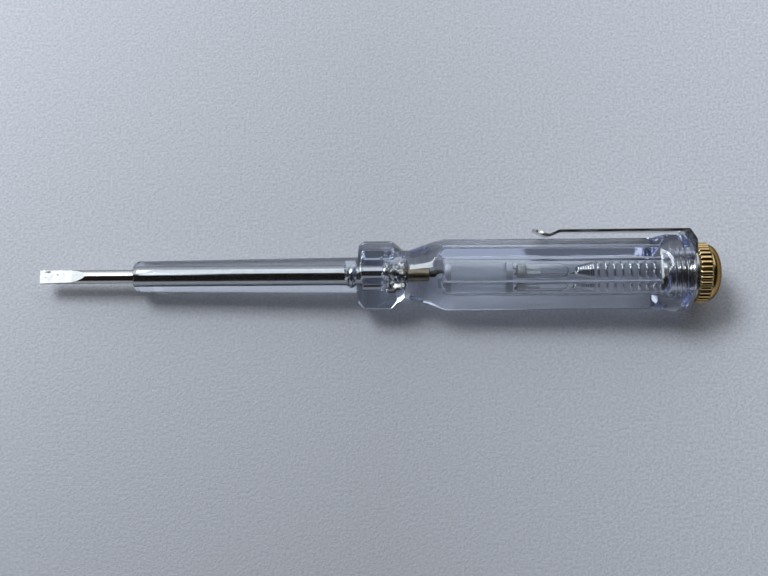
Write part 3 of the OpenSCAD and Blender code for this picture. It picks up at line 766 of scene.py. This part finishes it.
def blade():
    """Tip and rod in one piece, with the faces of the ground flats marked."""
    side = np.radians(np.linspace(-86, 86, 45))
    flat = np.linspace(-1, 1, 11)[1:-1]
    xs = np.concatenate([[0, 0.06], np.linspace(0.3, TIP_L, 90)])
    tip = tip_rings(xs, side, flat)
    angles = np.arctan2(tip[-1, :, 2], tip[-1, :, 1])
    points, faces = skin(np.concatenate([tip, rod_rings(angles)]))
    columns, quarter = len(angles), len(side) + len(flat)
    ground = np.zeros(len(faces), bool)
    quads = np.arange((len(xs) - 1) * columns)
    ground[quads] = quads % columns % quarter >= len(side) - 1
    return points, faces, ground


# Resistor and lamp

def resistor_stick():
    gap = RESISTOR_CAP_WALL + SEAT
    first, last = RESISTOR_X + gap, RESISTOR_END_X - gap
    line = filleted([(first, 0, 0), (first, RESISTOR_R, 0.12), (last, RESISTOR_R, 0.12), (last, 0, 0)])
    return turned(line, step=0.8)


def resistor_cup(x, way):
    """Thin cup over one end, with its closed face at x and its rim along way."""
    outer = RESISTOR_R + RESISTOR_CAP_WALL + SEAT
    rim, floor = x + way * RESISTOR_CAP_L, x + way * RESISTOR_CAP_WALL
    profile = filleted([
        (x, 0, 0), (x, outer, 0.25), (rim, outer, 0.06), (rim, RESISTOR_R + SEAT, 0.06),
        (floor, RESISTOR_R + SEAT, 0.05), (floor, 0, 0)])
    return turned(profile if way > 0 else profile[::-1], 72)


def lamp_tube():
    """Drawn tube, domed at the rear with its pinched-off tip, open inside."""
    dome_x = PIP_END_X - PIP_L - LAMP_R
    angles = np.radians(np.linspace(90, math.degrees(math.asin(PIP_R / LAMP_R)) + 4, 14))
    outside = np.stack([dome_x + LAMP_R * np.cos(angles), LAMP_R * np.sin(angles)], -1)
    pip = filleted([(outside[-1][0], outside[-1][1], 0), (PIP_END_X - 0.3, PIP_R * 0.8, 0.4),
                    (PIP_END_X, PIP_R * 0.6, 0.15), (PIP_END_X, 0, 0)])
    inner = LAMP_R - LAMP_WALL
    round_end = np.radians(np.linspace(0, 90, 14))
    inside = np.stack([dome_x + inner * np.cos(round_end), inner * np.sin(round_end)], -1)
    front = filleted([(STEM_X + 0.2, inner, 0), (STEM_X, inner, 0.1), (STEM_X, LAMP_R, 0.15),
                      (STEM_X + 0.5, LAMP_R, 0)])
    line = np.concatenate([front, outside, pip[1:], inside])
    angles = np.linspace(0, TURN, 72, endpoint=False)
    line = spaced(np.vstack([line, front[:1]]), 0.7)[:-1]
    return skin(round_rings(line[:, 0], np.maximum(line[:, 1:], 1e-3), angles), loop=True)


def lamp_bead():
    r = LAMP_R - LAMP_WALL - SEAT
    line = filleted([(STEM_X, 0, 0), (STEM_X, r, 0.2), (STEM_END_X, r, 0.35), (STEM_END_X, 0, 0)])
    return turned(line, step=0.3)


def electrode(side):
    rod = turned(filleted([(ELECTRODE_X, 0, 0), (ELECTRODE_X, ELECTRODE_R, 0.08),
                           (ELECTRODE_END_X, ELECTRODE_R, 0.25), (ELECTRODE_END_X, 0, 0)]), 40, 0.3)
    return moved(rod, (0, side * ELECTRODE_Y, 0))


def lead(corners, y):
    line = spaced(filleted(corners, 10), 0.4)
    points = np.stack([line[:, 0], np.full(len(line), y), line[:, 1]], -1)
    return wire(points, (0, 1, 0), LEAD_R)


def front_lead():
    hook = RESISTOR_END_X + LEAD_R
    return lead([(STEM_END_X, 0, 0), (hook, 0, 2 * LEAD_R), (hook, FRONT_HOOK_H, 0)], ELECTRODE_Y)


def rear_lead():
    fold = STEM_X - SEAT - LEAD_R
    under = -(LAMP_R + SEAT + LEAD_R)
    hook = SPRING_X - SEAT - LEAD_R
    bend = 2 * LEAD_R
    return lead([(STEM_END_X, 0, 0), (fold, 0, bend), (fold, under, bend), (hook, under, bend),
                 (hook, REAR_HOOK_H, 0)], -ELECTRODE_Y)


# Spring

def contact_spring():
    """Close-wound cone, open coil and a closed last turn against the cap's shank."""
    steps = 36
    turns = NOSE_TURNS + SPRING_TURNS + 2
    t = np.arange(turns * steps + 1) / steps
    widen, close = NOSE_TURNS + 1, turns - 1
    opening = np.interp(t, [NOSE_TURNS, widen, close, turns], [0, 1, 1, 0])
    share = np.concatenate([[0], np.cumsum((opening[1:] + opening[:-1]) / 2)]) / steps
    length = SHANK_X - SPRING_X - 2 * WIRE_R
    x = SPRING_X + WIRE_R + CLOSE_PITCH * t + (length - CLOSE_PITCH * turns) * share / share[-1]
    radius = np.interp(t, [0, NOSE_TURNS], [NOSE_R, SPRING_R])
    angle = math.acos(-ELECTRODE_Y / NOSE_R) + TURN * t
    outward = np.stack([np.zeros_like(x), np.cos(angle), np.sin(angle)], -1)
    axis = np.array([1.0, 0, 0])
    return wire(x[:, None] * axis + radius[:, None] * outward, outward, WIRE_R)


# Screw cap

def screw_cap():
    """Threaded shank, knurled rim and domed end, turned from one bar."""
    steps = 8
    angles = math.pi / 2 + np.linspace(0, TURN, KNURL_N * steps, endpoint=False)
    shank = np.linspace(SHANK_X, REAR_X - 0.4, 78)
    lead_in = (THREAD_ROOT_R - 0.2 + (shank - SHANK_X))[:, None]
    run_out = np.clip((shank[-1] - shank) / 0.6, 0, 1)[:, None]
    cut = THREAD_ROOT_R + (thread_radius(shank, angles) - THREAD_ROOT_R) * run_out
    front = round_rings([SHANK_X, SHANK_X], np.array([[0.02], [1.4]]), angles)
    threads = round_rings(shank, np.minimum(cut, lead_in), angles)
    dome_x, dome_r = KNOB_X + KNURL_L, KNOB_R - KNURL_BEVEL
    rim = spaced(filleted([
        (REAR_X - 0.3, THREAD_ROOT_R, 0), (KNOB_X, THREAD_ROOT_R, 0.1), (KNOB_X, dome_r, 0.1),
        (KNOB_X + KNURL_BEVEL, KNOB_R, 0.15), (dome_x - KNURL_BEVEL, KNOB_R, 0.15),
        (dome_x, dome_r, 0)]), 0.25)
    tooth = (np.arange(len(angles)) + steps // 2) % steps - steps // 2
    groove = np.clip(1 - np.abs(tooth) / 2.4, 0, 1)
    floor = KNOB_R - KNURL_DEPTH * groove
    knurl = round_rings(rim[:, 0], smooth_min(rim[:, 1:], floor[None, :], 0.03), angles)
    arc = np.linspace(0, math.pi / 2, 26)[1:]
    dome = round_rings(dome_x + (DOME_END_X - dome_x) * np.sin(arc),
                       np.maximum(dome_r * np.cos(arc), 0.01)[:, None], angles)
    return skin(np.concatenate([front, threads, knurl, dome]))


# Pocket clip

def clip_line():
    """Middle line of the strip from ring to tip, as (along, radius), and where the arm meets its bump."""
    arm_r = BAND_R + CLIP_GAP + CLIP_T / 2
    plate_x = REAR_X + CLIP_T / 2
    rear_slope, tip_slope = math.radians(26), math.radians(22)
    bump_x = REAR_X - CLIP_REACH
    lift = CLIP_BUMP_BEND * (1 / math.cos((rear_slope + tip_slope) / 2) - 1)
    bump_r = HANDLE_R + CLIP_CLEAR + CLIP_T / 2 - lift
    bump_rear_x = bump_x + (arm_r - bump_r) / math.tan(rear_slope)
    round_x, round_r = REAR_X - BAND_ROUND, BAND_R - BAND_ROUND
    off = BAND_ROUND + CLIP_CLEAR + CLIP_T / 2
    lean_r = round_r + (off - (plate_x - round_x) * math.cos(CLIP_LEAN)) / math.sin(CLIP_LEAN)
    heel_x = round_x + (off - (arm_r - round_r) * math.sin(CLIP_LEAN)) / math.cos(CLIP_LEAN)
    line = spaced(filleted([
        (plate_x, CLIP_HOLE_R + 0.4, 0), (plate_x, lean_r, CLIP_HEEL_BEND), (heel_x, arm_r, CLIP_HEEL_BEND),
        (bump_rear_x, arm_r, CLIP_BUMP_BEND), (bump_x, bump_r, CLIP_BUMP_BEND),
        (bump_x - CLIP_TIP_L, bump_r + CLIP_TIP_L * math.tan(tip_slope), 0)], 12), 0.5)
    ends = np.array([0.01, 0.06, 0.2, 0.45, 0.8, 1.2])
    unit = (line[-2] - line[-1]) / np.linalg.norm(line[-2] - line[-1])
    keep = line[:, 0] > CLIP_TIP_X + 1.4
    return np.concatenate([line[keep], line[-1] + unit * ends[::-1, None]]), bump_rear_x


def clip_strip():
    """Bent strip with rounded edges and a round tip, wider towards its heel."""
    line, bump_rear_x = clip_line()
    along = np.gradient(line, axis=0)
    along /= np.linalg.norm(along, axis=1)[:, None]
    thick = np.stack([-along[:, 1], along[:, 0]], -1)
    x = line[:, 0]
    half = np.interp(x, [bump_rear_x, REAR_X], [CLIP_TIP_W / 2, CLIP_HEEL_W / 2])
    tip_r = CLIP_TIP_W / 2
    nose = np.clip(tip_r - (x - CLIP_TIP_X), 0, tip_r - 1e-3)
    half = np.where(x < CLIP_TIP_X + tip_r, np.sqrt(tip_r ** 2 - nose ** 2), half)
    corner = 0.07
    turn = np.concatenate([math.pi / 2 * q + np.linspace(0, math.pi / 2, 5) for q in range(4)])
    quadrant = np.repeat(np.arange(4), 5)
    sign_w, sign_t = np.array([1, -1, -1, 1])[quadrant], np.array([1, 1, -1, -1])[quadrant]
    wide = sign_w * np.maximum(half[:, None] - corner, 0) + corner * np.cos(turn)
    deep = sign_t * (CLIP_T / 2 - corner) + corner * np.sin(turn)
    radial = np.array([0, math.cos(CLIP_TURN), math.sin(CLIP_TURN)])
    sideways = np.array([0, -math.sin(CLIP_TURN), math.cos(CLIP_TURN)])
    axis = np.array([1.0, 0, 0])
    centre = line[:, :1] * axis + line[:, 1:] * radial
    normal = thick[:, :1] * axis + thick[:, 1:] * radial
    rings = centre[:, None] + wide[..., None] * sideways + deep[..., None] * normal[:, None]
    return skin(rings[::-1])


def clip_ring():
    """Flat ring between the band and the knob, which traps it."""
    angles = np.linspace(0, TURN, 96, endpoint=False)
    low, high, seam = REAR_X + SEAT, KNOB_X - SEAT, 4.5
    section = filleted([
        (low, seam, 0), (low, CLIP_RING_R, 0.1), (high, CLIP_RING_R, 0.1), (high, CLIP_HOLE_R, 0.08),
        (low, CLIP_HOLE_R, 0.08), (low, seam - 0.1, 0)])
    return skin(round_rings(section[:, 0], section[:, 1:], angles), loop=True)


# Assembly

PLASTIC = plastic_material("clear_plastic", deep=True)
CRINKLED = plastic_material("crinkled_plastic", dull=0.12)
TAPPED = plastic_material("tapped_plastic", dull=0.22)
BORED = plastic_material("bored_plastic", bend=1.36)
GLASS = glass_material()
TINNED, COATED, SEALING = tinned_material(), electrode_material(), lead_material()

piece("clear_body", moulding(), PLASTIC, "handle", "body", 40,
      [CRINKLED, TAPPED, BORED])
piece("blade_rod", blade(), nickel_material(), "handle", "blade",
      others=[ground_material()])
piece("resistor_stick", resistor_stick(), lacquer_material(), "handle", "resistor_rod")
piece("resistor_cup_front", resistor_cup(RESISTOR_X, 1), TINNED, "handle", "resistor_front_cap")
piece("resistor_cup_rear", resistor_cup(RESISTOR_END_X, -1), TINNED, "handle", "resistor_rear_cap")
piece("lamp_tube", lamp_tube(), GLASS, "handle", "lamp_glass")
piece("lamp_bead", lamp_bead(), bead_material(), "handle", "lamp_stem")
piece("electrode_front", electrode(1), COATED, "handle", "lamp_front_electrode")
piece("electrode_rear", electrode(-1), COATED, "handle", "lamp_rear_electrode")
piece("lead_front", front_lead(), SEALING, "handle", "lamp_front_lead")
piece("lead_rear", rear_lead(), SEALING, "handle", "lamp_rear_lead")
coil = piece("coil_spring", contact_spring(), spring_material(), None, "contact_spring")
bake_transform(coil)
piece("brass_cap", screw_cap(), brass_material(), "cap", "end_cap")
piece("clip_strip", merged(clip_strip(), clip_ring()), clip_material(), "clip", "pocket_clip")


# Stage

def floor():
    """Disc under the collar's lower flat and the band's lowest line, which the tester rests on."""
    rest_x = COLLAR_X + COLLAR_FRONT
    slope = (BAND_R - COLLAR_FLAT) / (BAND_X - rest_x)
    bpy.ops.mesh.primitive_circle_add(vertices=96, radius=4.0, fill_type="NGON")
    made = bpy.context.object
    made.name = "floor"
    made.rotation_euler = (0, math.atan(slope), 0)
    made.location = Vector((rest_x, 0, -COLLAR_FLAT - SEAT)) * MM
    made.data.materials.append(floor_material())


def panel(name, x_tilts, y_tilts, height, radiance):
    """Level light at a height in metres, between two leans from upright each way in degrees."""
    x0, x1 = (height * math.tan(math.radians(a)) for a in x_tilts)
    y0, y1 = (height * math.tan(math.radians(a)) for a in y_tilts)
    light = bpy.data.lights.new(name, "AREA")
    light.shape = "RECTANGLE"
    light.size, light.size_y = x1 - x0, y1 - y0
    light.energy = radiance * math.pi * light.size * light.size_y
    light.color = DAYLIGHT
    made = bpy.data.objects.new(name, light)
    bpy.context.scene.collection.objects.link(made)
    made.location = (MIDDLE_X * MM + (x0 + x1) / 2, (y0 + y1) / 2, height)
    made.visible_camera = False


def lights():
    """Bright ceiling behind and to the left with a stronger key in it, and dimmer panels overhead."""
    panel("key", (-38, -18), (13, 36), 0.80, 13.5)
    panel("left", (-58, -11), (2, 18), 0.90, 1.5)
    panel("middle", (-2.5, 1), (6, 20), 0.90, 0.12)
    panel("over", (1, 9.2), (6, 20), 0.90, 0.55)
    panel("right", (9.2, 45), (6, 20), 0.90, 0.18)
    panel("back_left", (-58, -2.5), (18, 82), 0.90, 1.2)
    panel("back", (-2.5, 50), (20, 82), 0.90, 1.05)


def room():
    """Dark room overhead, with a low horizon that is pale behind the tool and dim on the viewer's side."""
    world = bpy.data.worlds.new("room")
    world.use_nodes = True
    tree = world.node_tree
    ground = tree.nodes["Background"]
    place = tree.nodes.new("ShaderNodeTexCoord")
    parts = tree.nodes.new("ShaderNodeSeparateXYZ")
    rise = tree.nodes.new("ShaderNodeMapRange")
    rise.inputs["From Min"].default_value = math.sin(math.radians(6))
    rise.inputs["From Max"].default_value = math.sin(math.radians(13))
    behind = tree.nodes.new("ShaderNodeMapRange")
    behind.inputs["From Min"].default_value = -0.6
    behind.inputs["From Max"].default_value = 0.2
    around = tree.nodes.new("ShaderNodeMix")
    around.data_type = "RGBA"
    around.inputs[6].default_value = rgb(0.10, 0.105, 0.115)
    around.inputs[7].default_value = HORIZON
    tone = tree.nodes.new("ShaderNodeMix")
    tone.data_type = "RGBA"
    tone.inputs[7].default_value = rgb(0.014, 0.012, 0.011)
    tree.links.new(place.outputs["Generated"], parts.inputs[0])
    tree.links.new(parts.outputs["Z"], rise.inputs["Value"])
    tree.links.new(parts.outputs["Y"], behind.inputs["Value"])
    tree.links.new(behind.outputs[0], around.inputs["Factor"])
    tree.links.new(around.outputs[2], tone.inputs[6])
    tree.links.new(rise.outputs[0], tone.inputs["Factor"])
    tree.links.new(tone.outputs[2], ground.inputs["Color"])
    bpy.context.scene.world = world


def camera():
    """View from above the -Y side, at the photograph's angle, distance and framing."""
    elevation, roll = math.radians(75.5), math.radians(0.42)
    distance, middle_x, below = 236.0, 70.7, 2.7
    up = Vector((0, math.sin(elevation), math.cos(elevation)))
    back = Vector((0, -math.cos(elevation), math.sin(elevation)))
    right = Vector((math.cos(roll), 0, 0)) - up * math.sin(roll)
    top = back.cross(right)
    data = bpy.data.cameras.new("camera")
    data.lens, data.sensor_width = 53.8, 36.0
    data.clip_start, data.clip_end = 0.005, 50.0
    made = bpy.data.objects.new("camera", data)
    bpy.context.scene.collection.objects.link(made)
    place = (Vector((middle_x, 0, 0)) - up * below + back * distance) * MM
    made.matrix_world = Matrix.Translation(place) @ Matrix((right, top, back)).transposed().to_4x4()
    bpy.context.scene.camera = made


floor()
lights()
room()
camera()

scene = bpy.context.scene
scene.view_settings.view_transform = "Standard"
scene.cycles.use_denoising = True
scene.cycles.max_bounces = 32
scene.cycles.transmission_bounces = 32
scene.cycles.glossy_bounces = 12

bpy.context.view_layer.update()
